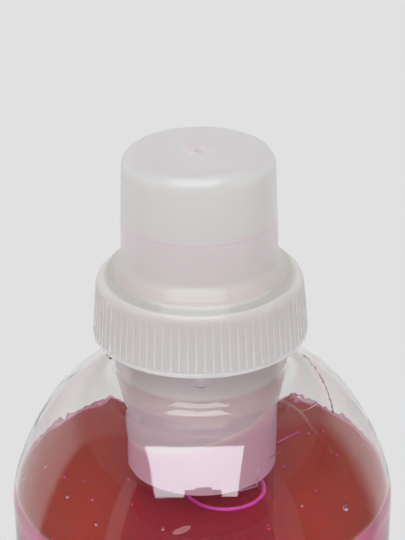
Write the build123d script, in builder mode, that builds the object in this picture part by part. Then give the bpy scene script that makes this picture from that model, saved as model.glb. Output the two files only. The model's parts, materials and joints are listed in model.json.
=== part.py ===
from build123d import *
import os

os.makedirs("parts", exist_ok=True)

# Driving sizes in millimetres, with the origin in the middle of the base and Z up

# Bottle: side and shoulder
body_diameter = 92.0
body_wall = 0.6
side_height = 154.0  # base to where the shoulder begins
shoulder_rise = 31.0
top_fullness = 0.54  # of the shoulder at the neck: 0 is a straight bevel, 0.55 a quarter ellipse
side_fullness = 0.21  # of the shoulder at the side

# Bottle: base with a ring to stand on and a pushed-up middle
heel_radius = 7.0
stand_width = 4.0
push_up = 6.0
base_wall = 1.0

# Bottle: neck
neck_diameter = 40.8
neck_wall = 1.9
neck_height = 24.0  # shoulder to rim
neck_root_radius = 3.4
rim_edge = 0.5

# Bottle: screw thread on the neck
thread_pitch = 4.0
thread_turns = 1.5
thread_depth = 1.0
thread_root_width = 2.2
thread_crest_width = 1.0
thread_from_rim = 2.4
thread_sink = 0.4  # how deep the ridge is rooted in the wall
join_tolerance = 0.0001  # for joining the ridge to the neck

# Bottle: half-round lugs on the neck, in two opposite pairs
lug_width = 7.0
lug_proud = 2.4
lug_gap = 0.5  # below the skirt of the closed cap
lug_spread = 72.0  # degrees between the two lugs of a pair
lug_edge = 0.7
lug_sink = 0.8

# Sealing ring
ring_thickness = 1.6

# Dosing cap: skirt with its ribs and its lower rim
skirt_depth = 13.6  # ceiling to lower edge
skirt_draft = 1.0  # how much wider the lower edge is
skirt_wall = 2.0
lower_rim_height = 1.2
lower_rim_proud = 0.3
lower_rim_edge = 0.4
rib_count = 82
rib_width = 0.4
rib_proud = 0.3
rib_fade = 1.6  # how far below the collar's corner the ribs begin to run out
rib_foot_gap = 0.25  # above the lower rim

# Dosing cap: cone-shaped collar between the skirt and the cup
collar_height = 5.3  # foot of the cup above the ceiling
collar_corner = 0.2  # top of the skirt above the ceiling
collar_turn_radius = 3.0
cup_foot_radius = 2.0
groove_place = 0.5  # share of the way down the cone
groove_width = 0.8
groove_depth = 0.15

# Dosing cap: cup above the collar and tube below it
cup_height = 31.1  # above the ceiling
cup_draft = 0.75
cup_edge = 3.8
cup_wall = 1.35
crown_wall = 1.6
tube_length = 48.4  # below the ceiling
tube_draft = 0.3
mouth_wall = 0.85
dose_line_depth = 16.0  # below the crown
dose_step = 0.3
gate_dish_diameter = 9.0
gate_dish_depth = 0.6
gate_nub_diameter = 1.2
gate_nub_height = 0.5

# Clearances
tube_clearance = 0.35  # tube in the neck's bore
thread_clearance = 0.35  # skirt over the crest of the thread
ring_clearance = 0.3  # ring inside the cap, at both its rims

# Detergent
headspace = 5.8  # its surface below the mouth of the tube

# Radii that follow
body_radius = body_diameter / 2
neck_radius = neck_diameter / 2
root_radius = neck_radius + neck_root_radius
bore_radius = neck_radius - neck_wall
throat_radius = root_radius - bore_radius  # inside, so that the wall thickens evenly into the neck
tube_radius = bore_radius - tube_clearance
crown_radius = tube_radius - cup_draft
cup_bore = crown_radius - cup_wall
mouth_radius = tube_radius - tube_draft
skirt_bore = neck_radius + thread_depth + thread_clearance
skirt_radius = skirt_bore + skirt_wall
lower_skirt_bore = skirt_bore + skirt_draft
lower_skirt_radius = skirt_radius + skirt_draft

# Heights that follow
shoulder_top = side_height + shoulder_rise
rim_z = shoulder_top + neck_height
ceiling_z = rim_z + ring_thickness
skirt_z = ceiling_z - skirt_depth
cup_foot_z = ceiling_z + collar_height
collar_corner_z = ceiling_z + collar_corner
crown_z = ceiling_z + cup_height
dose_z = crown_z - dose_line_depth
mouth_z = ceiling_z - tube_length
fill_z = mouth_z - headspace


def shoulder_curve(side_radius, top_z):
    """The shoulder's section, from the upright side to its level top at the neck's root."""
    reach = side_radius - root_radius
    rise = top_z - side_height
    return Bezier(
        (side_radius, side_height),
        (side_radius, side_height + side_fullness * rise),
        (root_radius + top_fullness * reach, top_z),
        (root_radius, top_z),
    )


# Outside of the bottle as a solid section, from the middle of the base up to the rim
stand_outer = body_radius - heel_radius
stand_inner = stand_outer - stand_width
with BuildSketch(Plane.XZ) as bottle_outside:
    with BuildLine():
        dome = TangentArc((0, push_up), (stand_inner, 0), tangent=(1, 0))
        stand = Line(dome @ 1, (stand_outer, 0))
        heel = TangentArc(stand @ 1, (body_radius, heel_radius), tangent=(1, 0))
        side = Line(heel @ 1, (body_radius, side_height))
        shoulder = shoulder_curve(body_radius, shoulder_top)
        root_end = (neck_radius, shoulder_top + neck_root_radius)
        root = TangentArc(shoulder @ 1, root_end, tangent=(-1, 0))
        Polyline(root @ 1, (neck_radius, rim_z), (0, rim_z), (0, push_up))
    make_face()

# Space inside the bottle, which the detergent fills up to its level
inner_radius = body_radius - body_wall
inner_heel = heel_radius - body_wall
throat_z = shoulder_top - body_wall
floor_middle = (0, push_up + base_wall)
with BuildSketch(Plane.XZ) as bottle_inside:
    with BuildLine():
        inner_dome = TangentArc(floor_middle, (stand_inner, base_wall), tangent=(1, 0))
        inner_floor = Line(inner_dome @ 1, (inner_radius - inner_heel, base_wall))
        heel_end = (inner_radius, base_wall + inner_heel)
        inner_turn = TangentArc(inner_floor @ 1, heel_end, tangent=(1, 0))
        Line(inner_turn @ 1, (inner_radius, side_height))
        inner_shoulder = shoulder_curve(inner_radius, throat_z)
        throat_end = (bore_radius, throat_z + throat_radius)
        throat = TangentArc(inner_shoulder @ 1, throat_end, tangent=(-1, 0))
        Polyline(throat @ 1, (bore_radius, rim_z), (0, rim_z), floor_middle)
    make_face()

# Lugs stand on the neck under the cap, one pair at the front and left, one opposite
lug_radius = neck_radius + lug_proud
lug_planes = []
for bearing in (-90, -90 - lug_spread, 90, 90 - lug_spread):
    outward = Vector(1, 0, 0).rotate(Axis.Z, bearing)
    lug_face = outward * lug_radius + Vector(0, 0, skirt_z - lug_gap)
    lug_planes.append(Plane(lug_face, x_dir=outward.cross(Vector(0, 0, 1)), z_dir=-outward))

# Bottle, blown in one piece with its threaded neck
thread_rise = thread_pitch * thread_turns
thread_start = rim_z - thread_from_rim - thread_rise
with BuildPart() as bottle:
    revolve(bottle_outside.sketch, axis=Axis.Z)
    revolve(bottle_inside.sketch, axis=Axis.Z, mode=Mode.SUBTRACT)
    fillet(bottle.faces().sort_by(Axis.Z)[-1].edges(), rim_edge)
    with BuildSketch(*lug_planes):
        Circle(lug_width / 2)
        Rectangle(lug_width, lug_width, align=(Align.CENTER, Align.MIN), mode=Mode.SUBTRACT)
    extrude(amount=lug_proud + lug_sink)
    lug_rims = bottle.edges(Select.LAST).filter_by(GeomType.CIRCLE)
    fillet(lug_rims.filter_by(lambda arc: arc.radius < bore_radius), lug_edge)
    with BuildLine() as thread_path:
        Helix(thread_pitch, thread_rise, neck_radius - thread_sink, center=(0, 0, thread_start))
    helix = thread_path.line
    with BuildSketch(Plane(helix @ 0, x_dir=(1, 0, 0), z_dir=helix % 0)):
        with BuildLine():
            Polyline(
                (0, -thread_root_width / 2),
                (thread_sink, -thread_root_width / 2),
                (thread_sink + thread_depth, -thread_crest_width / 2),
                (thread_sink + thread_depth, thread_crest_width / 2),
                (thread_sink, thread_root_width / 2),
                (0, thread_root_width / 2),
                close=True,
            )
        make_face()
    ridge = sweep(path=helix, is_frenet=True, mode=Mode.PRIVATE)
    add(bottle.part.fuse(ridge, tol=join_tolerance), mode=Mode.REPLACE)

# Detergent, filling the bottle to a level just under the cap's tube
with BuildPart() as detergent:
    revolve(bottle_inside.sketch, axis=Axis.Z)
    split(bisect_by=Plane.XY.offset(fill_z), keep=Keep.BOTTOM)

# Sealing ring, lying on the neck's rim and up against the cap's ceiling
with BuildPart() as sealing_ring:
    with BuildSketch(Plane.XY.offset(rim_z)):
        Circle(skirt_bore - ring_clearance)
        Circle(tube_radius + ring_clearance, mode=Mode.SUBTRACT)
    extrude(amount=ring_thickness)

# Dosing cap, moulded in one piece: cup, collar, skirt and the tube that hangs in the neck
nub_radius = gate_nub_diameter / 2
dish_z = crown_z - gate_dish_depth
lower_rim_z = skirt_z + lower_rim_height
lower_rim_radius = lower_skirt_radius + lower_rim_proud
inner_edge = cup_edge - cup_wall
cup_floor_z = crown_z - crown_wall
cone_top = Vector(tube_radius, cup_foot_z)
cone_line = Vector(skirt_radius, collar_corner_z) - cone_top
cone_normal = cone_line.normalized().rotate(Axis.Z, 90)
groove_radius = ((groove_width / 2) ** 2 + groove_depth**2) / (2 * groove_depth)
groove_centre = cone_top + cone_line * groove_place + cone_normal * (groove_radius - groove_depth)
with BuildPart() as dosing_cap:
    with BuildSketch(Plane.XZ):
        with BuildLine():
            nub_top = dish_z + gate_nub_height
            nub = Polyline((0, cup_floor_z), (0, nub_top), (nub_radius, nub_top), (nub_radius, dish_z))
            dish_lip = ((nub_radius + gate_dish_diameter / 2) / 2, (dish_z + crown_z) / 2)
            dish = TangentArc(nub @ 1, dish_lip, tangent=(1, 0))
            dish_turn = TangentArc(dish @ 1, (gate_dish_diameter / 2, crown_z), tangent=dish % 1)
            crown = Line(dish_turn @ 1, (crown_radius - cup_edge, crown_z))
            crown_turn = TangentArc(crown @ 1, (crown_radius, crown_z - cup_edge), tangent=(1, 0))
            collar = FilletPolyline(
                crown_turn @ 1,
                (tube_radius, cup_foot_z),
                (skirt_radius, collar_corner_z),
                (lower_skirt_radius, lower_rim_z),
                radius=[cup_foot_radius, collar_turn_radius],
            )
            rim_ledge = Line(collar @ 1, (lower_rim_radius - lower_rim_edge, lower_rim_z))
            upper_bead_end = (lower_rim_radius, lower_rim_z - lower_rim_edge)
            upper_bead = TangentArc(rim_ledge @ 1, upper_bead_end, tangent=(1, 0))
            bead_side = Line(upper_bead @ 1, (lower_rim_radius, skirt_z + lower_rim_edge))
            lower_bead_end = (lower_rim_radius - lower_rim_edge, skirt_z)
            lower_bead = TangentArc(bead_side @ 1, lower_bead_end, tangent=(0, -1))
            underside = Polyline(
                lower_bead @ 1,
                (lower_skirt_bore, skirt_z),
                (skirt_bore, ceiling_z),
                (tube_radius, ceiling_z),
                (mouth_radius, mouth_z),
                (mouth_radius - mouth_wall, mouth_z),
                (cup_bore + dose_step, dose_z),
                (cup_bore, dose_z),
                (cup_bore, cup_floor_z - inner_edge),
            )
            inner_end = (cup_bore - inner_edge, cup_floor_z)
            inner_turn = TangentArc(underside @ 1, inner_end, tangent=(0, 1))
            Line(inner_turn @ 1, (0, cup_floor_z))
        make_face()
    revolve(axis=Axis.Z)
    with BuildSketch(Plane.XZ):
        with Locations(groove_centre):
            Circle(groove_radius)
    revolve(axis=Axis.Z, mode=Mode.SUBTRACT)
    with BuildSketch(Plane.XZ):
        with BuildLine():
            rib_foot_z = lower_rim_z + rib_foot_gap
            rib_top_z = collar_corner_z - rib_fade
            rib_side = Polyline(
                (skirt_radius - skirt_wall / 2, rib_top_z),
                (lower_skirt_radius - skirt_wall / 2, rib_foot_z),
                (lower_skirt_radius + rib_proud, rib_foot_z),
                (skirt_radius + rib_proud, rib_top_z),
            )
            rib_end = (skirt_radius - skirt_wall / 2, collar_corner_z)
            rib_turn = TangentArc(rib_side @ 1, rib_end, tangent=rib_side % 1)
            Line(rib_turn @ 1, rib_side @ 0)
        make_face()
    rib = extrude(amount=rib_width / 2, both=True, mode=Mode.PRIVATE)
    with PolarLocations(0, rib_count):
        add(rib)

for piece, name in (
    (bottle, "bottle"),
    (detergent, "detergent"),
    (sealing_ring, "sealing_ring"),
    (dosing_cap, "dosing_cap"),
):
    piece.part.label = name
    export_step(piece.part, f"parts/{name}.step")
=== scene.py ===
import bpy
import json
import math
import random
from mathutils import Matrix, Vector

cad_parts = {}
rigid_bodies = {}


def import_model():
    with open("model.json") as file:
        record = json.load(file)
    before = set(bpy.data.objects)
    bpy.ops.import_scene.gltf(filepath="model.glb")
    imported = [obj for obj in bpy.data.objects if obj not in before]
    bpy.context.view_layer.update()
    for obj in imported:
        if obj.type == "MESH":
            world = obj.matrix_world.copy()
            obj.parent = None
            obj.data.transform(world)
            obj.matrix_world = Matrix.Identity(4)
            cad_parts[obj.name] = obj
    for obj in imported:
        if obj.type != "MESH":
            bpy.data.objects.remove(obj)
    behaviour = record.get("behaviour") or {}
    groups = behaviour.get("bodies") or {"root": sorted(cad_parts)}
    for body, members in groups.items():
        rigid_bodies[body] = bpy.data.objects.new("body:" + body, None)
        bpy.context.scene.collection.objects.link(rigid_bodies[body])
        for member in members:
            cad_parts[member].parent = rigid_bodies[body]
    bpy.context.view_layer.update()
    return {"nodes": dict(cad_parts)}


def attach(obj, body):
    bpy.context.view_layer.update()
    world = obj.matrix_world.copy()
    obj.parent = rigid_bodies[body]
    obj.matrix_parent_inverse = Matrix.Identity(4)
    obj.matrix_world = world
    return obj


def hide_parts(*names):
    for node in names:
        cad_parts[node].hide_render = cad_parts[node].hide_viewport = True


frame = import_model()
mm = 0.001
weld = 0.002 * mm  # points nearer than this are one
allSmooth = 180  # degrees, smooths every edge of a piece
bpy.ops.object.select_all(action="DESELECT")
bpy.context.scene.view_settings.view_transform = "Standard"
print("frame loaded:", ", ".join(sorted(frame["nodes"])))


# camera, as it stood for the photograph
shot = {
    "place": (0.64 * mm, -348.0 * mm, 374.7 * mm),
    "lookDown": 25.07,  # degrees
    "roll": -0.65,
    "focalPixels": 1670,
    "imageHeight": 540,
    "sensor": 36.0,
    "nearest": 0.01,
}


def addCamera():
    bpy.ops.object.camera_add(location=shot["place"])
    camera = bpy.context.object
    camera.name = "photoCamera"
    tilt = Matrix.Rotation(math.radians(90 - shot["lookDown"]), 3, "X")
    roll = Matrix.Rotation(math.radians(shot["roll"]), 3, "Z")
    camera.rotation_euler = (tilt @ roll).to_euler()
    camera.data.sensor_width = shot["sensor"]
    camera.data.lens = shot["focalPixels"] / shot["imageHeight"] * shot["sensor"]
    camera.data.clip_start = shot["nearest"]
    bpy.context.scene.camera = camera


addCamera()
print("camera set")


# small helpers for node trees
def newMaterial(name):
    material = bpy.data.materials.new(name)
    material.use_nodes = True
    tree = material.node_tree
    tree.nodes.clear()
    output = tree.nodes.new("ShaderNodeOutputMaterial")
    return material, tree, output


def addNode(tree, kind, **values):
    node = tree.nodes.new(kind)
    for name, value in values.items():
        setattr(node, name, value)
    return node


def link(tree, source, target):
    tree.links.new(source, target)


def addMath(tree, operation, first, second=0.0):
    node = addNode(tree, "ShaderNodeMath", operation=operation)
    for socket, value in zip(node.inputs, (first, second)):
        if isinstance(value, (int, float)):
            socket.default_value = value
        else:
            link(tree, value, socket)
    return node.outputs[0]


def addRamp(tree, value, low, high, start=0.0, end=1.0):
    node = addNode(tree, "ShaderNodeMapRange", interpolation_type="SMOOTHSTEP")
    link(tree, value, node.inputs["Value"])
    node.inputs["From Min"].default_value = low
    node.inputs["From Max"].default_value = high
    node.inputs["To Min"].default_value = start
    node.inputs["To Max"].default_value = end
    return node.outputs[0]


def blend(tree, share, first, second):  # of two numbers
    node = addNode(tree, "ShaderNodeMix")
    link(tree, share, node.inputs[0])
    for socket, value in ((node.inputs[2], first), (node.inputs[3], second)):
        if isinstance(value, (int, float)):
            socket.default_value = value
        else:
            link(tree, value, socket)
    return node.outputs[0]


def mixColour(tree, share, first, second):
    mix = addNode(tree, "ShaderNodeMix", data_type="RGBA")
    link(tree, share, mix.inputs[0])
    for socket, colour in ((mix.inputs[6], first), (mix.inputs[7], second)):
        if isinstance(colour, tuple):
            socket.default_value = colour
        else:
            link(tree, colour, socket)
    return mix.outputs[2]


def addNoise(tree, scale, detail=3.0):
    place = addNode(tree, "ShaderNodeTexCoord")
    noise = addNode(tree, "ShaderNodeTexNoise")
    noise.inputs["Scale"].default_value = scale
    noise.inputs["Detail"].default_value = detail
    link(tree, place.outputs["Object"], noise.inputs["Vector"])
    return noise.outputs[0]


def addBump(tree, height, strength, distance, target):
    bump = addNode(tree, "ShaderNodeBump")
    bump.inputs["Strength"].default_value = strength
    bump.inputs["Distance"].default_value = distance
    link(tree, height, bump.inputs["Height"])
    link(tree, bump.outputs[0], target)


def addSkin(tree, values):  # values by the names of the shader's sockets
    skin = addNode(tree, "ShaderNodeBsdfPrincipled")
    for name, value in values.items():
        skin.inputs[name].default_value = value
    return skin


def mixShaders(tree, share, first, second):
    mix = addNode(tree, "ShaderNodeMixShader")
    for source, target in zip((share, first, second), mix.inputs):
        link(tree, source, target)
    return mix.outputs[0]


def axesOf(tree, output="Object"):  # X, Y and Z of a point, or of a direction in the world
    place = addNode(tree, "ShaderNodeTexCoord")
    split = addNode(tree, "ShaderNodeSeparateXYZ")
    link(tree, place.outputs[output], split.inputs[0])
    return split.outputs


def radiusOf(tree, axes):  # about the bottle's axis
    flat = addNode(tree, "ShaderNodeCombineXYZ")
    link(tree, axes["X"], flat.inputs["X"])
    link(tree, axes["Y"], flat.inputs["Y"])
    length = addNode(tree, "ShaderNodeVectorMath", operation="LENGTH")
    link(tree, flat.outputs[0], length.inputs[0])
    return length.outputs["Value"]


def awayFromMiddle(tree, axes):  # to the left or to the right
    return addMath(tree, "ABSOLUTE", axes["X"])


# studio: a pale sweep behind and below, dark panels in front, a softbox overhead
studio = {
    "floorSize": 12.0,
    "pale": (0.753, 0.753, 0.753, 1),
    "floorColour": (0.76, 0.76, 0.76, 1),
    "shadowReach": (0.09, 0.19),  # the floor turns from lit to plain pale between these
    "around": 0.98,
    "sweepMirrored": (1.05, 0.45),  # what glossy surfaces see behind, low and high
    "sweepHeight": (14, 30),  # degrees
    "sweepLeft": (-106, -99),  # degrees to the right of the camera
    "sweepRight": (106, 124),
    "floorMirrored": 0.1,  # of the floor in front, beside the floor behind
    "roomMirrored": 0.22,  # what they see in front, above the panels
    "panels": (  # degrees to the right of the camera, from and to, height, soft edge, brightness
        (-108, -59, 27, 1, 0.07),
        (-58, -49, 33, 1, 0.5),
        (-49, 42, 33, 1, 0.04),
        (42, 60, 33, 1, 0.3),
        (60, 126, 27, 1, 0.07),
    ),
    "boxPlace": (-0.06, -0.408, 0.793),
    "boxSize": (0.73, 0.635),
    "boxTilt": 33.2,  # degrees, down towards the bottle
    "boxPower": 7.5,
    "boxColour": (0.82, 0.965, 1.0),
    "fillPlace": (-0.15, -0.8, 0.75),
    "fillSize": 0.6,
    "fillPower": 1.0,
}


def unscatteredRays(tree, rays):  # 1 for rays that have met no matte surface
    return addMath(tree, "LESS_THAN", rays.outputs["Diffuse Depth"], 0.5)


def mirroredRays(tree, rays):  # 1 for what is seen by reflection, also through clear plastic
    reflected = addMath(tree, "GREATER_THAN", rays.outputs["Glossy Depth"], 0.5)
    return addMath(tree, "MULTIPLY", reflected, unscatteredRays(tree, rays))


def bearingOf(tree, axes):  # 0 towards the camera, in radians
    towards = addMath(tree, "MULTIPLY", axes["Y"], -1.0)
    return addMath(tree, "ARCTAN2", axes["X"], towards)


def inFront(tree, bearing):  # between the edges of the pale sweep
    left = [math.radians(edge) for edge in studio["sweepLeft"]]
    right = [math.radians(edge) for edge in studio["sweepRight"]]
    return addMath(tree, "MULTIPLY", addRamp(tree, bearing, *left), addRamp(tree, bearing, *right, 1, 0))


def addFloor():
    bpy.ops.mesh.primitive_plane_add(size=studio["floorSize"])
    floor = bpy.context.object
    floor.name = "floor"
    material, tree, output = newMaterial("paleFloor")
    matte = addNode(tree, "ShaderNodeBsdfDiffuse")
    matte.inputs["Color"].default_value = studio["floorColour"]
    glow = addNode(tree, "ShaderNodeEmission")
    glow.inputs["Color"].default_value = studio["pale"]
    rays = addNode(tree, "ShaderNodeLightPath")
    axes = axesOf(tree)
    dark = addMath(tree, "MULTIPLY", mirroredRays(tree, rays), inFront(tree, bearingOf(tree, axes)))
    link(tree, blend(tree, dark, 1.0, studio["floorMirrored"]), glow.inputs["Strength"])
    plain = addRamp(tree, radiusOf(tree, axes), *studio["shadowReach"])
    plain = addMath(tree, "MULTIPLY", rays.outputs["Is Camera Ray"], plain)
    for kind in ("Is Transmission Ray", "Is Glossy Ray"):
        plain = addMath(tree, "MAXIMUM", plain, rays.outputs[kind])
    link(tree, mixShaders(tree, plain, matte.outputs[0], glow.outputs[0]), output.inputs["Surface"])
    floor.data.materials.append(material)


def roomBrightness(tree):  # seen by reflection, by direction
    axes = axesOf(tree, "Generated")
    bearing = bearingOf(tree, axes)
    elevation = addMath(tree, "ARCSINE", axes["Z"])
    bright = studio["roomMirrored"]
    for panel in studio["panels"]:
        left, right, top, edge = (math.radians(value) for value in panel[:4])
        inside = addRamp(tree, bearing, left, left + edge)
        inside = addMath(tree, "MULTIPLY", inside, addRamp(tree, bearing, right, right + edge, 1, 0))
        inside = addMath(tree, "MULTIPLY", inside, addRamp(tree, elevation, top, top + 2 * edge, 1, 0))
        bright = blend(tree, inside, bright, panel[4])
    low, high = (math.radians(value) for value in studio["sweepHeight"])
    sweep = addRamp(tree, elevation, low, high, *studio["sweepMirrored"])
    return blend(tree, inFront(tree, bearing), sweep, bright)


def lightStudio():
    world = bpy.data.worlds.new("studio")
    bpy.context.scene.world = world
    world.use_nodes = True
    tree = world.node_tree
    tree.nodes.clear()
    output = addNode(tree, "ShaderNodeOutputWorld")
    around = addNode(tree, "ShaderNodeBackground")
    around.inputs["Strength"].default_value = studio["around"]
    backdrop = addNode(tree, "ShaderNodeBackground")
    backdrop.inputs["Color"].default_value = studio["pale"]
    room = addNode(tree, "ShaderNodeBackground")
    link(tree, roomBrightness(tree), room.inputs["Strength"])
    rays = addNode(tree, "ShaderNodeLightPath")
    shown = addMath(tree, "MULTIPLY", rays.outputs["Is Transmission Ray"], unscatteredRays(tree, rays))
    shown = addMath(tree, "MAXIMUM", rays.outputs["Is Camera Ray"], shown)
    seen = mixShaders(tree, shown, around.outputs[0], backdrop.outputs[0])
    seen = mixShaders(tree, mirroredRays(tree, rays), seen, room.outputs[0])
    link(tree, seen, output.inputs["Surface"])
    bpy.ops.object.light_add(type="AREA", location=studio["boxPlace"])
    softbox = bpy.context.object
    softbox.name = "softbox"
    softbox.data.shape = "RECTANGLE"
    softbox.data.size, softbox.data.size_y = studio["boxSize"]
    softbox.data.energy = studio["boxPower"]
    softbox.data.color = studio["boxColour"]
    softbox.rotation_euler = (math.radians(studio["boxTilt"]), 0, 0)
    softbox.visible_diffuse = False
    bpy.ops.object.light_add(type="AREA", location=studio["fillPlace"])
    fill = bpy.context.object
    fill.name = "fillLight"
    fill.data.size = studio["fillSize"]
    fill.data.energy = studio["fillPower"]
    fill.visible_glossy = False
    fill.visible_transmission = False
    fill.rotation_euler = (Vector(studio["fillPlace"])).to_track_quat("Z", "Y").to_euler()


# dark camera body in front, which only shows as a notch in the softbox's reflection
cameraBody = {
    "place": (0.004, -0.39, 0.382),
    "size": (0.168, 0.06, 0.11),
    "hump": (0.28, 0.72, 0.016),  # share of the width from and to, height
    "upward": 0.9,  # least rise of a normal on its top
    "dark": (0.02, 0.012, 0.016, 1),
}


def addCameraBody():
    bpy.ops.object.select_all(action="DESELECT")
    bpy.ops.mesh.primitive_cube_add(size=1)
    body = bpy.context.object
    body.name = "cameraBody"
    bpy.ops.object.mode_set(mode="EDIT")
    low, high, lift = cameraBody["hump"]
    for share in (low, high):
        bpy.ops.mesh.select_all(action="SELECT")
        bpy.ops.mesh.bisect(plane_co=(share - 0.5, 0, 0), plane_no=(1, 0, 0))
    bpy.ops.mesh.select_all(action="SELECT")
    bpy.ops.transform.resize(value=cameraBody["size"], center_override=(0, 0, 0))
    bpy.ops.mesh.select_all(action="DESELECT")
    bpy.ops.object.mode_set(mode="OBJECT")
    width = cameraBody["size"][0]
    for face in body.data.polygons:
        middle = face.center.x / width + 0.5
        face.select = face.normal.z > cameraBody["upward"] and low < middle < high
    bpy.ops.object.mode_set(mode="EDIT")
    bpy.ops.mesh.select_mode(type="FACE")
    bpy.ops.mesh.extrude_region_move(TRANSFORM_OT_translate={"value": (0, 0, lift)})
    bpy.ops.mesh.select_mode(type="VERT")
    bpy.ops.mesh.select_all(action="SELECT")
    bpy.ops.transform.translate(value=cameraBody["place"])
    bpy.ops.object.mode_set(mode="OBJECT")
    material, tree, output = newMaterial("darkCameraBody")
    skin = addNode(tree, "ShaderNodeBsdfDiffuse")
    skin.inputs["Color"].default_value = cameraBody["dark"]
    link(tree, skin.outputs[0], output.inputs["Surface"])
    body.data.materials.append(material)
    body.visible_camera = False
    body.visible_diffuse = False
    body.visible_shadow = False


addFloor()
lightStudio()
addCameraBody()
print("studio lit")


# a line through points of (radius, height), drawn from one point and left in edit mode
def drawOutline(name, outline):
    bpy.ops.object.select_all(action="DESELECT")
    bpy.ops.mesh.primitive_plane_add(size=mm)
    piece = bpy.context.object
    piece.name = name
    bpy.ops.object.mode_set(mode="EDIT")
    bpy.ops.mesh.select_all(action="SELECT")
    bpy.ops.mesh.merge(type="CENTER")
    startRadius, startHeight = outline[0]
    bpy.ops.transform.translate(value=(startRadius, 0, startHeight))
    for (oldRadius, oldHeight), (radius, height) in zip(outline, outline[1:]):
        stride = (radius - oldRadius, 0, height - oldHeight)
        bpy.ops.mesh.extrude_vertices_move(TRANSFORM_OT_translate={"value": stride})
    bpy.ops.mesh.select_all(action="SELECT")
    return piece


def lathe(name, outline, steps):  # turns an outline about the bottle's axis
    piece = drawOutline(name, outline)
    bpy.ops.mesh.spin(steps=steps, angle=2 * math.pi, center=(0, 0, 0), axis=(0, 0, 1))
    bpy.ops.mesh.select_all(action="SELECT")
    bpy.ops.mesh.remove_doubles(threshold=weld)
    bpy.ops.mesh.normals_make_consistent(inside=False)
    bpy.ops.object.mode_set(mode="OBJECT")
    return piece


def arc(centre, radius, startAngle, endAngle, count):
    points = []
    for step in range(count + 1):
        angle = math.radians(startAngle + (endAngle - startAngle) * step / count)
        points.append((centre[0] + radius * math.cos(angle), centre[1] + radius * math.sin(angle)))
    return points


def pickOnly(piece):
    bpy.ops.object.select_all(action="DESELECT")
    piece.select_set(True)
    bpy.context.view_layer.objects.active = piece


def finishPiece(piece, material, body, angle=40):  # smooth where faces meet by less than the angle
    piece.data.materials.clear()
    piece.data.materials.append(material)
    pickOnly(piece)
    bpy.ops.object.shade_smooth_by_angle(angle=math.radians(angle))
    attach(piece, body)


def letLampsThrough(tree, surface, output, share=1.0):
    rays = addNode(tree, "ShaderNodeLightPath")
    clear = addNode(tree, "ShaderNodeBsdfTransparent")
    clear.inputs["Color"].default_value = (share, share, share, 1)
    mixed = mixShaders(tree, rays.outputs["Is Shadow Ray"], surface, clear.outputs[0])
    link(tree, mixed, output.inputs["Surface"])


# inside of the bottle's shoulder, which the detergent and its drops lie against
shoulder = {
    "sideRadius": 45.4 * mm,
    "sideTop": 154.0 * mm,
    "rise": 30.4 * mm,
    "rootRadius": 23.8 * mm,
    "sideFullness": 0.21,
    "topFullness": 0.54,
    "halvings": 24,  # to find the radius at a height
}


def shoulderPoint(share):  # 0 at the side, 1 at the root of the neck
    reach = shoulder["sideRadius"] - shoulder["rootRadius"]
    weights = ((1 - share) ** 3, 3 * share * (1 - share) ** 2, 3 * share ** 2 * (1 - share), share ** 3)
    handle = shoulder["rootRadius"] + shoulder["topFullness"] * reach
    radii = (shoulder["sideRadius"], shoulder["sideRadius"], handle, shoulder["rootRadius"])
    heights = (0, shoulder["sideFullness"] * shoulder["rise"], shoulder["rise"], shoulder["rise"])
    radius = sum(weight * value for weight, value in zip(weights, radii))
    return radius, shoulder["sideTop"] + sum(weight * value for weight, value in zip(weights, heights))


def wallRadius(height):
    low, high = 0.0, 1.0
    for halving in range(shoulder["halvings"]):
        middle = (low + high) / 2
        if shoulderPoint(middle)[1] < height:
            low = middle
        else:
            high = middle
    return shoulderPoint(low)[0]


def onWall(bearing, height, inset=0.0):  # bearing in degrees from +X
    radius = wallRadius(height) - inset
    angle = math.radians(bearing)
    return Vector((radius * math.cos(angle), radius * math.sin(angle), height))


# detergent: fills the bottle, pressed a little into its wall so that no gap shows, and climbs at the edge
detergent = {
    "level": 156.4 * mm,
    "press": 0.2 * mm,
    "climb": 0.9 * mm,
    "climbWidth": 2.6 * mm,
    "ragged": (  # share left out, seed, lift
        (0.45, 3, 0.4 * mm),
        (0.55, 8, 0.5 * mm),
        (0.7, 5, 0.6 * mm),
    ),
    "raggedFrom": 4.0 * mm,  # and on towards the back
    "edgeBand": 0.1 * mm,
    "floorThickness": 1.0 * mm,
    "heelRadius": 6.4 * mm,
    "standInner": 35.0 * mm,
    "pushUp": 6.0 * mm,
    "arcSteps": 10,
    "climbSteps": 8,
    "steps": 320,
    "ior": 1.37,
    "dye": (0.967, 0.03, 0.90, 1),
    "dyeDensity": 180.0,
    "cloud": (0.34, 0.034, 0.018, 1),  # what a slight cloudiness gives back
    # painted shade: the cloud is darker in the middle, under the tube, than to the left and right
    "cloudShadedMiddle": (0.245, 0.018, 0.028, 1),
    "middle": (10.0 * mm, 28.0 * mm),  # to the left and the right
    "cloudShare": (0.8, 0.04),  # in the middle and at the wall
    # painted light: a pale pink, partly matte band just under the edge at the wall, standing in for light
    # shining through the thin detergent there
    "rim": (0.88, 0.35, 0.47, 1),  # thin at the wall, just under its edge
    "rimShare": 0.6,
    "rimRadius": (44.4 * mm, 44.7 * mm),
    "rimZ": (147.0 * mm, 155.0 * mm),
    "cloudEdge": (44.2 * mm, 45.4 * mm),
}


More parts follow.
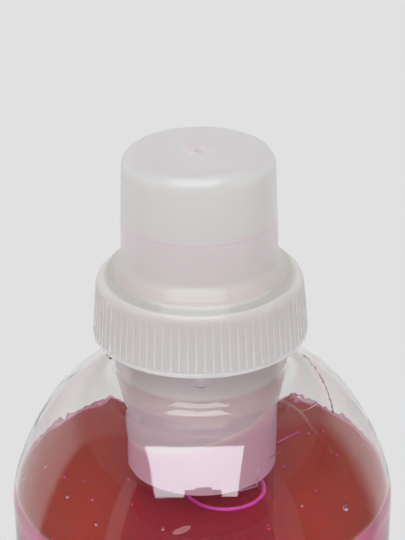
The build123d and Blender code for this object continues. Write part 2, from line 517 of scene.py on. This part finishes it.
def redDetergent():
    material, tree, output = newMaterial("redDetergent")
    clear = {"Base Color": (1, 1, 1, 1), "Transmission Weight": 1.0}
    glossy = {"Roughness": 0.0, "IOR": detergent["ior"]}
    skin = addSkin(tree, {**clear, **glossy})
    cloud = addSkin(tree, glossy)
    axes = axesOf(tree)
    radius, height = radiusOf(tree, axes), axes["Z"]
    outward = addRamp(tree, awayFromMiddle(tree, axes), *detergent["middle"])
    # painted light: the band under the edge at the wall turns pale pink and matte, as if lit through the thin
    # detergent
    rim = addRamp(tree, radius, *detergent["rimRadius"])
    rim = addMath(tree, "MULTIPLY", rim, addRamp(tree, height, *detergent["rimZ"]))
    # painted shade: darker cloud in the middle, under the tube
    colour = mixColour(tree, outward, detergent["cloudShadedMiddle"], detergent["cloud"])
    link(tree, mixColour(tree, rim, colour, detergent["rim"]), cloud.inputs["Base Color"])
    share = addRamp(tree, radius, *detergent["cloudEdge"], *detergent["cloudShare"])
    share = blend(tree, rim, share, detergent["rimShare"])
    side = addNode(tree, "ShaderNodeNewGeometry")
    outside = addMath(tree, "SUBTRACT", 1.0, side.outputs["Backfacing"])
    share = addMath(tree, "MULTIPLY", share, outside)
    letLampsThrough(tree, mixShaders(tree, share, skin.outputs[0], cloud.outputs[0]), output)
    dye = addNode(tree, "ShaderNodeVolumeAbsorption")
    dye.inputs["Color"].default_value = detergent["dye"]
    dye.inputs["Density"].default_value = detergent["dyeDensity"]
    link(tree, dye.outputs[0], output.inputs["Volume"])
    return material


def raiseEdge(piece, height):  # lifts some of the wet edge at the back, higher here and lower there
    inward = (wallRadius(height + mm) - wallRadius(height)) / mm
    for share, seed, lift in detergent["ragged"]:
        pickOnly(piece)
        bpy.ops.object.mode_set(mode="EDIT")
        bpy.ops.mesh.select_all(action="DESELECT")
        bpy.ops.object.mode_set(mode="OBJECT")
        edge = [point for point in piece.data.vertices if point.co.z > height - detergent["edgeBand"]]
        for point in edge:
            point.select = point.co.y > detergent["raggedFrom"]
        bpy.ops.object.mode_set(mode="EDIT")
        bpy.ops.mesh.select_random(ratio=share, seed=seed, action="DESELECT")
        tighter = 1 + inward * lift / wallRadius(height)
        bpy.ops.transform.resize(value=(tighter, tighter, 1), center_override=(0, 0, height))
        bpy.ops.transform.translate(value=(0, 0, lift))
        bpy.ops.object.mode_set(mode="OBJECT")


def addDetergent():
    press = detergent["press"]
    wall = shoulder["sideRadius"] + press
    floorZ = detergent["floorThickness"] - press
    heel = detergent["heelRadius"] + press
    level = detergent["level"]
    edgeZ = level + detergent["climb"]
    rise = detergent["pushUp"]
    domeRadius = (detergent["standInner"] ** 2 + rise ** 2) / (2 * rise)
    domeHalf = math.degrees(math.asin(detergent["standInner"] / domeRadius))
    outline = arc((0, floorZ + rise - domeRadius), domeRadius, 90, 90 - domeHalf, detergent["arcSteps"])
    outline += arc((wall - heel, floorZ + heel), heel, -90, 0, detergent["arcSteps"])
    for share in (0.25, 0.5, 0.75, 1):
        outline.append((wall, floorZ + heel + share * (shoulder["sideTop"] - floorZ - heel)))
    for share in (0.25, 0.5, 0.75):
        height = shoulder["sideTop"] + share * (edgeZ - shoulder["sideTop"])
        outline.append((wallRadius(height) + press, height))
    width = detergent["climbWidth"]
    edgeRadius = wallRadius(edgeZ) + press
    for step in range(detergent["climbSteps"] + 1):  # the surface, falling away from the wall
        away = step / detergent["climbSteps"]
        outline.append((edgeRadius - width * away, level + detergent["climb"] * (1 - away) ** 3))
    for share in (0.75, 0.5, 0.25, 0):
        outline.append(((edgeRadius - width) * share, level))
    piece = lathe("detergentFill", outline, detergent["steps"])
    raiseEdge(piece, edgeZ)
    finishPiece(piece, redDetergent(), "bottle")
    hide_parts("detergent")


addDetergent()
print("detergent filled")


# detergent held between the tube and the neck's bore
neckFilm = {
    "outer": 18.65 * mm,  # a little into the neck's wall
    "inner": 17.93 * mm,
    "foot": 188.9 * mm,
    "top": 208.4 * mm,
    "tint": (0.995, 0.89, 0.90, 1),
    "edgeSteps": 6,
    "steps": 128,
}


def filmLook(name, tint, roughness=0.05, clear=1.0):
    material, tree, output = newMaterial(name)
    look = {"Base Color": tint, "Roughness": roughness, "IOR": detergent["ior"], "Transmission Weight": clear}
    letLampsThrough(tree, addSkin(tree, look).outputs[0], output)
    return material


def addNeckFilm():
    inner, outer = neckFilm["inner"], neckFilm["outer"]
    foot, top = neckFilm["foot"], neckFilm["top"]
    edge = (outer - inner) / 2
    outline = arc((inner + edge, top - edge), edge, 180, 0, neckFilm["edgeSteps"])
    outline += arc((inner + edge, foot + edge), edge, 0, -180, neckFilm["edgeSteps"])
    outline.append(outline[0])
    piece = lathe("neckFilm", outline, neckFilm["steps"])
    finishPiece(piece, filmLook("pinkNeckFilm", neckFilm["tint"]), "bottle")


addNeckFilm()
print("film in the neck")


# bubble between the tube's mouth and the detergent, seen as a ring that is thinner behind
ringBubble = {
    "place": (5.5 * mm, -5.6 * mm),
    "radius": 9.4 * mm,
    "thickness": 2.3 * mm,
    "segments": (96, 20),
    "behind": 0.8,  # share of the radius
    "thinner": 1.8 * mm,
    "fade": 9.0 * mm,
    # the ring's magenta is that of thin detergent; its bright, partly matte look is painted light, standing
    # in for light the meniscus gathers from behind
    "tint": (0.80, 0.09, 0.50, 1),
    "clear": 0.35,
}


def addRingBubble(material):
    bpy.ops.object.select_all(action="DESELECT")
    x, y = ringBubble["place"]
    around, across = ringBubble["segments"]
    bpy.ops.mesh.primitive_torus_add(
        location=(x, y, detergent["level"]),
        major_radius=ringBubble["radius"],
        minor_radius=ringBubble["thickness"],
        major_segments=around,
        minor_segments=across,
    )
    piece = bpy.context.object
    piece.name = "ringBubble"
    bpy.ops.object.transform_apply(location=True)
    for point in piece.data.vertices:
        point.select = point.co.y > y + ringBubble["radius"] * ringBubble["behind"]
    bpy.ops.object.mode_set(mode="EDIT")
    bpy.ops.mesh.select_mode(type="VERT")
    bpy.ops.transform.shrink_fatten(
        value=-ringBubble["thinner"], use_proportional_edit=True, proportional_size=ringBubble["fade"]
    )
    bpy.ops.object.mode_set(mode="OBJECT")
    finishPiece(piece, material, "bottle", allSmooth)


bubbleFilm = filmLook("pinkBubbleFilm", ringBubble["tint"], clear=ringBubble["clear"])
addRingBubble(bubbleFilm)
print("bubble under the tube")


# small bubbles on the detergent, scattered and in one row, and a patch of foam at the front
bubbles = {
    "count": 30,
    "fineness": 2,
    "seed": 11,
    "sizes": (0.16 * mm, 0.42 * mm),
    "reach": 42.0 * mm,
    "clearOf": 16.0 * mm,
    "rowFrom": (19.2 * mm, 16.0 * mm),
    "rowTo": (24.6 * mm, 20.9 * mm),
    "rowCount": 22,
    "rowSway": 0.1 * mm,
    "rowSizes": (0.2 * mm, 0.34 * mm),
    "flat": 0.6,
    "patch": (-4.8 * mm, -23.3 * mm),
    "patchSize": (2.6 * mm, 1.1 * mm, 0.25 * mm),
    "patchTurn": 39.0,
    "patchUneven": (0.12 * mm, 2),  # height, seed
    "patchTint": (0.45, 0.16, 0.17, 1),
    "patchRoughness": 0.5,
    "patchClear": 0.2,
}


def addBall(place, size):
    bpy.ops.object.select_all(action="DESELECT")
    bpy.ops.mesh.primitive_ico_sphere_add(subdivisions=bubbles["fineness"], radius=size, location=place)
    ball = bpy.context.object
    bpy.ops.object.transform_apply(location=True)
    return ball


def squash(place, factor):  # the ball that was added last
    bpy.ops.object.mode_set(mode="EDIT")
    bpy.ops.mesh.select_all(action="SELECT")
    bpy.ops.transform.resize(value=factor, center_override=place)
    bpy.ops.object.mode_set(mode="OBJECT")


def joinAs(name, pieces):
    bpy.ops.object.select_all(action="DESELECT")
    for piece in pieces:
        piece.select_set(True)
    bpy.context.view_layer.objects.active = pieces[0]
    bpy.ops.object.join()
    whole = bpy.context.object
    bpy.ops.object.transform_apply(location=True, rotation=True, scale=True)
    whole.name = name
    return whole


def addBubbles(material):
    chance = random.Random(bubbles["seed"])
    spots = []
    while len(spots) < bubbles["count"]:
        radius = bubbles["reach"] * math.sqrt(chance.random())
        angle = chance.uniform(0, 2 * math.pi)
        if radius > bubbles["clearOf"]:
            x, y = radius * math.cos(angle), radius * math.sin(angle)
            spots.append((x, y, chance.uniform(*bubbles["sizes"])))
    for step in range(bubbles["rowCount"]):
        share = step / (bubbles["rowCount"] - 1)
        x, y = (start + share * (end - start) for start, end in zip(bubbles["rowFrom"], bubbles["rowTo"]))
        sway = chance.uniform(-1, 1) * bubbles["rowSway"]
        spots.append((x + sway, y, chance.uniform(*bubbles["rowSizes"])))
    middle = (0, 0, detergent["level"])
    first = addBall(middle, mm)
    squash(middle, (1, 1, bubbles["flat"]))
    balls = []
    for x, y, size in spots:
        pickOnly(first)
        bpy.ops.object.duplicate(linked=False)
        ball = bpy.context.object
        squash(middle, (size / mm, size / mm, size / mm))
        bpy.ops.transform.translate(value=(x, y, 0))
        bpy.ops.object.transform_apply(location=True)
        balls.append(ball)
    bpy.data.objects.remove(first)
    finishPiece(joinAs("surfaceBubbles", balls), material, "bottle", allSmooth)


def addFoamPatch():
    x, y = bubbles["patch"]
    place = (x, y, detergent["level"])
    patch = addBall(place, mm)
    squash(place, tuple(size / mm for size in bubbles["patchSize"]))
    turn = -math.radians(bubbles["patchTurn"])
    uneven, seed = bubbles["patchUneven"]
    bpy.ops.object.mode_set(mode="EDIT")
    bpy.ops.transform.rotate(value=turn, orient_axis="Z", center_override=place)
    bpy.ops.mesh.subdivide(number_cuts=1, smoothness=1)
    bpy.ops.transform.vertex_random(offset=uneven, seed=seed)
    bpy.ops.object.mode_set(mode="OBJECT")
    patch.name = "foamPatch"
    foam = filmLook("paleFoam", bubbles["patchTint"], bubbles["patchRoughness"], bubbles["patchClear"])
    finishPiece(patch, foam, "bottle", allSmooth)


addBubbles(bubbleFilm)
addFoamPatch()
print("bubbles and foam on the detergent")


# a trickle on the inside of the shoulder, behind on the right, and drops that cling to it
trickle = {
    "fromZ": 177.0 * mm,
    "toZ": 157.0 * mm,
    "bearing": 40.2,  # degrees from +X
    "bend": 2.0,  # degrees, at its top
    "wander": 0.35,
    "inset": 0.05 * mm,
    "width": 0.2 * mm,
    "widths": (0.5, 1.5),  # times the width
    "sides": 8,
    "steps": 40,
    "seed": 5,
    "tint": (0.50, 0.06, 0.09, 1),
    "roughness": 0.1,
    "clear": 0.4,
    "smoothBelow": 60,  # degrees
}
drops = {
    "large": (-40.0, 164.8 * mm, 0.7 * mm),  # bearing, height, size
    "count": 14,
    "seed": 21,
    "heights": (159.0 * mm, 178.0 * mm),
    "sizes": (0.2 * mm, 0.42 * mm),
    "stretch": 1.5,  # upright
    "tint": (0.97, 0.93, 0.94, 1),
}


def addTrickle():
    chance = random.Random(trickle["seed"])
    steps = trickle["steps"]
    spots = []
    for step in range(steps + 1):
        share = step / steps
        height = trickle["fromZ"] + share * (trickle["toZ"] - trickle["fromZ"])
        bearing = trickle["bearing"] + trickle["bend"] * (1 - share) ** 3
        bearing += chance.uniform(-1, 1) * trickle["wander"]
        width = trickle["width"] * chance.uniform(*trickle["widths"])
        spots.append((onWall(bearing, height, trickle["inset"]), width))
    top, width = spots[0]
    bpy.ops.object.select_all(action="DESELECT")
    bpy.ops.mesh.primitive_circle_add(vertices=trickle["sides"], radius=width, fill_type="NGON", location=top)
    piece = bpy.context.object
    piece.name = "trickle"
    bpy.ops.object.transform_apply(location=True)
    bpy.ops.object.mode_set(mode="EDIT")
    bpy.ops.mesh.select_all(action="SELECT")
    for (old, oldWidth), (new, newWidth) in zip(spots, spots[1:]):
        bpy.ops.mesh.extrude_region_move(TRANSFORM_OT_translate={"value": new - old})
        scale = newWidth / oldWidth
        bpy.ops.transform.resize(value=(scale, scale, 1), center_override=new)
    bpy.ops.mesh.select_all(action="SELECT")
    bpy.ops.mesh.normals_make_consistent(inside=False)
    bpy.ops.object.mode_set(mode="OBJECT")
    film = filmLook("redTrickle", trickle["tint"], trickle["roughness"], trickle["clear"])
    finishPiece(piece, film, "bottle", trickle["smoothBelow"])


def addDrops():
    chance = random.Random(drops["seed"])
    spots = [drops["large"]]
    for number in range(drops["count"]):
        height = chance.uniform(*drops["heights"])
        spots.append((chance.uniform(-180, 180), height, chance.uniform(*drops["sizes"])))
    balls = []
    for bearing, height, size in spots:
        place = onWall(bearing, height)
        balls.append(addBall(place, size))
        squash(place, (1, 1, drops["stretch"]))
    film = filmLook("clearDrops", drops["tint"])
    finishPiece(joinAs("wallDrops", balls), film, "bottle", allSmooth)


addTrickle()
addDrops()
print("trickle and drops on the shoulder")


# thread inside the cap's skirt, in the gap of the neck's thread
capThread = {
    "startZ": 198.6 * mm,
    "pitch": 4.0 * mm,
    "turns": 1.5,
    "root": 22.95 * mm,  # inside the skirt's wall
    "crest": 20.85 * mm,
    "rootHalf": 1.0 * mm,
    "crestHalf": 0.4 * mm,
    "steps": 144,
    "endSides": 8,  # an end with no more sides is closed
    "smoothBelow": 30,  # degrees
}


def addCapThread(material):
    root, crest = capThread["root"], capThread["crest"]
    wide, narrow = capThread["rootHalf"], capThread["crestHalf"]
    section = ((root, -wide), (crest, -narrow), (crest, narrow), (root, wide), (root, -wide))
    piece = drawOutline("capThread", [(radius, capThread["startZ"] + height) for radius, height in section])
    bpy.ops.mesh.remove_doubles(threshold=weld)
    bpy.ops.object.mode_set(mode="OBJECT")
    bpy.ops.object.modifier_add(type="SCREW")
    screw = piece.modifiers[-1]
    screw.axis = "Z"
    screw.angle = 2 * math.pi * capThread["turns"]
    screw.screw_offset = capThread["pitch"] * capThread["turns"]
    screw.steps = screw.render_steps = capThread["steps"]
    bpy.ops.object.modifier_apply(modifier=screw.name)
    bpy.ops.object.mode_set(mode="EDIT")
    bpy.ops.mesh.select_all(action="SELECT")
    bpy.ops.mesh.fill_holes(sides=capThread["endSides"])
    bpy.ops.mesh.normals_make_consistent(inside=False)
    bpy.ops.object.mode_set(mode="OBJECT")
    finishPiece(piece, material, "cap", capThread["smoothBelow"])


# clear blown plastic of the bottle, with the faint colours of strained plastic and fine scratches
bottleLook = {
    "tint": (0.985, 0.98, 0.98, 1),
    "rose": (0.985, 0.93, 0.95, 1),
    "green": (0.94, 0.985, 0.96, 1),
    "strainFrom": (14.0 * mm, 26.0 * mm),  # along +X
    "strainZ": (166.0 * mm, 174.0 * mm),
    "strainScale": 55.0,
    "strainDistortion": 2.0,
    "ior": 1.52,
    "crackScale": 60.0,  # fine lines on the front, to the right
    "crackWidth": 0.004,
    "crackFrom": (6.0 * mm, 12.0 * mm),  # along +X
    "crackFront": (-14.0 * mm, -8.0 * mm),
    "crackStrength": 0.12,
    "crackDepth": 0.1 * mm,
}


def clearPlastic():
    material, tree, output = newMaterial("clearBottlePlastic")
    skin = addSkin(tree, {"Roughness": 0.0, "IOR": bottleLook["ior"], "Transmission Weight": 1.0})
    place = addNode(tree, "ShaderNodeTexCoord")
    axes = axesOf(tree)
    strain = addRamp(tree, axes["X"], *bottleLook["strainFrom"])
    strain = addMath(tree, "MULTIPLY", strain, addRamp(tree, axes["Z"], *bottleLook["strainZ"]))
    waves = addNode(tree, "ShaderNodeTexWave")
    waves.inputs["Scale"].default_value = bottleLook["strainScale"]
    waves.inputs["Distortion"].default_value = bottleLook["strainDistortion"]
    link(tree, place.outputs["Object"], waves.inputs["Vector"])
    colours = mixColour(tree, waves.outputs["Fac"], bottleLook["rose"], bottleLook["green"])
    link(tree, mixColour(tree, strain, bottleLook["tint"], colours), skin.inputs["Base Color"])
    cracks = addNode(tree, "ShaderNodeTexVoronoi", feature="DISTANCE_TO_EDGE")
    cracks.inputs["Scale"].default_value = bottleLook["crackScale"]
    link(tree, place.outputs["Object"], cracks.inputs["Vector"])
    lines = addRamp(tree, cracks.outputs["Distance"], 0.0, bottleLook["crackWidth"], 1, 0)
    lines = addMath(tree, "MULTIPLY", lines, addRamp(tree, axes["X"], *bottleLook["crackFrom"]))
    lines = addMath(tree, "MULTIPLY", lines, addRamp(tree, axes["Y"], *bottleLook["crackFront"], 1, 0))
    addBump(tree, lines, bottleLook["crackStrength"], bottleLook["crackDepth"], skin.inputs["Normal"])
    letLampsThrough(tree, skin.outputs[0], output)
    return material


# milky plastic of the dosing cap, tinted where detergent has wetted it, with painted shade on its top and
# skirt and painted light on its collar, its ribs and the tube in its neck
capLook = {
    "milk": (0.89, 0.88, 0.865, 1),
    # painted shade: the cap's top is a darker copy of the milky plastic
    "top": (0.845, 0.815, 0.83, 1),
    "shadedTopZ": (239.4 * mm, 241.2 * mm),
    "wet": (0.91, 0.68, 0.77, 1),  # inside the cup, below the dose line
    "wetRadius": (17.05 * mm, 17.3 * mm),
    "wetEdge": (-0.3 * mm, 0.1 * mm),
    "doseLine": (0.92, 0.78, 0.83, 1),
    "doseLineHalf": 0.35 * mm,
    "doseZ": 225.7 * mm,
    # painted light: the collar outside the cup is a lighter copy of the milky plastic
    "collar": (0.985, 0.96, 0.935, 1),
    "outerRadius": (20.0 * mm, 21.0 * mm),
    # painted shade: the skirt is a darker, slightly pink copy of the milky plastic
    "skirt": (0.87, 0.82, 0.82, 1),
    "skirtZ": (198.2 * mm, 210.8 * mm),
    "skirtFade": 2.0 * mm,
    "skirtRadius": (24.75 * mm, 23.75 * mm),
    # painted highlight: the ribs are lighter than the skirt between them
    "ridge": (0.985, 0.98, 0.97, 1),
    "ridgeProud": (0.1 * mm, 0.3 * mm),
    # painted light: the tube in the neck, in the skirt's shade, is painted near white
    "neck": (0.985, 0.95, 0.95, 1),  # the tube where the neck holds it
    "neckZ": (187.5 * mm, 189.0 * mm),
    "tube": (0.745, 0.59, 0.58, 1),
    "residue": (0.675, 0.53, 0.57, 1),  # clings to the tube, between a wavy and a sloping edge
    "residueTop": 181.5 * mm,
    "residueTopEdge": (-0.5 * mm, 0.3 * mm),
    "residueWave": 5.0 * mm,
    "residueWaves": (70.0, 1.0),  # scale and detail
    "residueFoot": 175.5 * mm,
    "residueFootEdge": (0.0, 0.4 * mm),
    "residueSlope": 0.285,  # along +X
    # painted highlight: a lighter line along the residue's sloping foot
    "residueHighlight": (0.82, 0.675, 0.665, 1),
    "residueHighlightEdge": (-0.5 * mm, 0.0, 0.4 * mm),
    "tubeLow": (0.71, 0.435, 0.53, 1),  # under the residue, most of all on both sides
    "tubeLowFrom": (-30.0 * mm, 8.0 * mm),
    "tubeLowEdge": (-2.0 * mm, 0.0),
    "tubeZ": (196.0 * mm, 200.0 * mm),
    "tubeRadius": (18.3 * mm, 19.5 * mm),
    "seal": (0.905, 0.855, 0.785, 1),  # where the ring shows through the collar
    "sealZ": (212.4 * mm, 213.8 * mm, 215.6 * mm),
    "gate": (0.935, 0.83, 0.865, 1),
    "gateRadius": (0.7 * mm, 1.4 * mm, 4.6 * mm),
    "gateZ": (239.5 * mm, 240.5 * mm),
    "roughness": 0.3,
    "ior": 1.2,
    "clear": 0.4,
    "lampsThrough": 0.85,
    "coat": 0.33,
    "coatRoughness": 0.02,
}


def bandOf(tree, value, low, middle, high):  # rises to the middle and falls again
    rising = addRamp(tree, value, low, middle)
    return addMath(tree, "MULTIPLY", rising, addRamp(tree, value, middle, high, 1, 0))


def tubeColours(tree, axes):  # the tube in its neck, above, in and under the residue
    height = axes["Z"]
    slope = addMath(tree, "MULTIPLY", axes["X"], capLook["residueSlope"])
    overFoot = addMath(tree, "SUBTRACT", addMath(tree, "SUBTRACT", height, slope), capLook["residueFoot"])
    wave = addMath(tree, "SUBTRACT", addNoise(tree, *capLook["residueWaves"]), 0.5)
    wave = addMath(tree, "MULTIPLY", wave, capLook["residueWave"])
    overTop = addMath(tree, "SUBTRACT", addMath(tree, "ADD", height, wave), capLook["residueTop"])
    residue = addRamp(tree, overFoot, *capLook["residueFootEdge"])
    residue = addMath(tree, "MULTIPLY", residue, addRamp(tree, overTop, *capLook["residueTopEdge"], 1, 0))
    low = addRamp(tree, overFoot, *capLook["tubeLowEdge"], 1, 0)
    low = addMath(tree, "MULTIPLY", low, addRamp(tree, awayFromMiddle(tree, axes), *capLook["tubeLowFrom"]))
    colour = mixColour(tree, low, capLook["tube"], capLook["tubeLow"])
    colour = mixColour(tree, residue, colour, capLook["residue"])
    # painted highlight along the residue's foot
    line = bandOf(tree, overFoot, *capLook["residueHighlightEdge"])
    colour = mixColour(tree, line, colour, capLook["residueHighlight"])
    # painted light on the tube in the neck, where the skirt shades it
    return mixColour(tree, addRamp(tree, height, *capLook["neckZ"]), colour, capLook["neck"])


def ribRidges(tree, radius, height):  # 1 on the ribs, by how far they stand out from the skirt's cone
    cone = addNode(tree, "ShaderNodeMapRange")
    link(tree, height, cone.inputs["Value"])
    cone.inputs["From Min"].default_value, cone.inputs["From Max"].default_value = capLook["skirtZ"]
    cone.inputs["To Min"].default_value, cone.inputs["To Max"].default_value = capLook["skirtRadius"]
    proud = addMath(tree, "SUBTRACT", radius, cone.outputs[0])
    return addRamp(tree, proud, *capLook["ridgeProud"])


def milkyPlastic():
    material, tree, output = newMaterial("milkyCapPlastic")
    axes = axesOf(tree)
    radius, height = radiusOf(tree, axes), axes["Z"]
    doseZ = capLook["doseZ"]
    wetLow, wetHigh = capLook["wetEdge"]
    wet = addRamp(tree, height, doseZ + wetLow, doseZ + wetHigh, 1, 0)
    wet = addMath(tree, "MULTIPLY", wet, addRamp(tree, radius, *capLook["wetRadius"], 1, 0))
    # painted shade on the cap's top
    colour = mixColour(tree, addRamp(tree, height, *capLook["shadedTopZ"]), capLook["milk"], capLook["top"])
    colour = mixColour(tree, wet, colour, capLook["wet"])
    half = capLook["doseLineHalf"]
    line = bandOf(tree, height, doseZ - half, doseZ, doseZ + half)
    colour = mixColour(tree, line, colour, capLook["doseLine"])
    # painted light: the collar is lighter
    outer = addRamp(tree, radius, *capLook["outerRadius"])
    colour = mixColour(tree, outer, colour, capLook["collar"])
    # painted shade on the skirt
    skirtTop, fade = capLook["skirtZ"][1], capLook["skirtFade"]
    skirt = addMath(tree, "MULTIPLY", outer, addRamp(tree, height, skirtTop - fade, skirtTop + fade, 1, 0))
    colour = mixColour(tree, skirt, colour, capLook["skirt"])
    colour = mixColour(tree, bandOf(tree, height, *capLook["sealZ"]), colour, capLook["seal"])
    tube = addRamp(tree, height, *capLook["tubeZ"], 1, 0)
    tube = addMath(tree, "MULTIPLY", tube, addRamp(tree, radius, *capLook["tubeRadius"], 1, 0))
    colour = mixColour(tree, tube, colour, tubeColours(tree, axes))
    # painted highlight on the ribs
    colour = mixColour(tree, ribRidges(tree, radius, height), colour, capLook["ridge"])
    gate = bandOf(tree, radius, *capLook["gateRadius"])
    gate = addMath(tree, "MULTIPLY", gate, addRamp(tree, height, *capLook["gateZ"]))
    colour = mixColour(tree, gate, colour, capLook["gate"])
    look = {
        "Roughness": capLook["roughness"],
        "IOR": capLook["ior"],
        "Transmission Weight": capLook["clear"],
        "Coat Weight": capLook["coat"],
        "Coat Roughness": capLook["coatRoughness"],
    }
    skin = addSkin(tree, look)
    link(tree, colour, skin.inputs["Base Color"])
    letLampsThrough(tree, skin.outputs[0], output, capLook["lampsThrough"])
    return material


# soft foam of the sealing ring
foamLook = {
    "light": (0.76, 0.65, 0.53, 1),
    "dark": (0.64, 0.52, 0.40, 1),
    "cells": 1500.0,
    "cellStrength": 0.4,
    "cellDepth": 0.1 * mm,
    "roughness": 0.8,
}


def sealFoam():
    material, tree, output = newMaterial("sealFoam")
    skin = addSkin(tree, {"Roughness": foamLook["roughness"]})
    cells = addNoise(tree, foamLook["cells"])
    link(tree, mixColour(tree, cells, foamLook["dark"], foamLook["light"]), skin.inputs["Base Color"])
    addBump(tree, cells, foamLook["cellStrength"], foamLook["cellDepth"], skin.inputs["Normal"])
    link(tree, skin.outputs[0], output.inputs["Surface"])
    return material


def dress(node, material):
    part = frame["nodes"][node]
    part.data.materials.clear()
    part.data.materials.append(material)


capPlastic = milkyPlastic()
dress("bottle", clearPlastic())
dress("dosing_cap", capPlastic)
dress("sealing_ring", sealFoam())
print("CAD pieces dressed")
addCapThread(capPlastic)
print("thread in the cap")
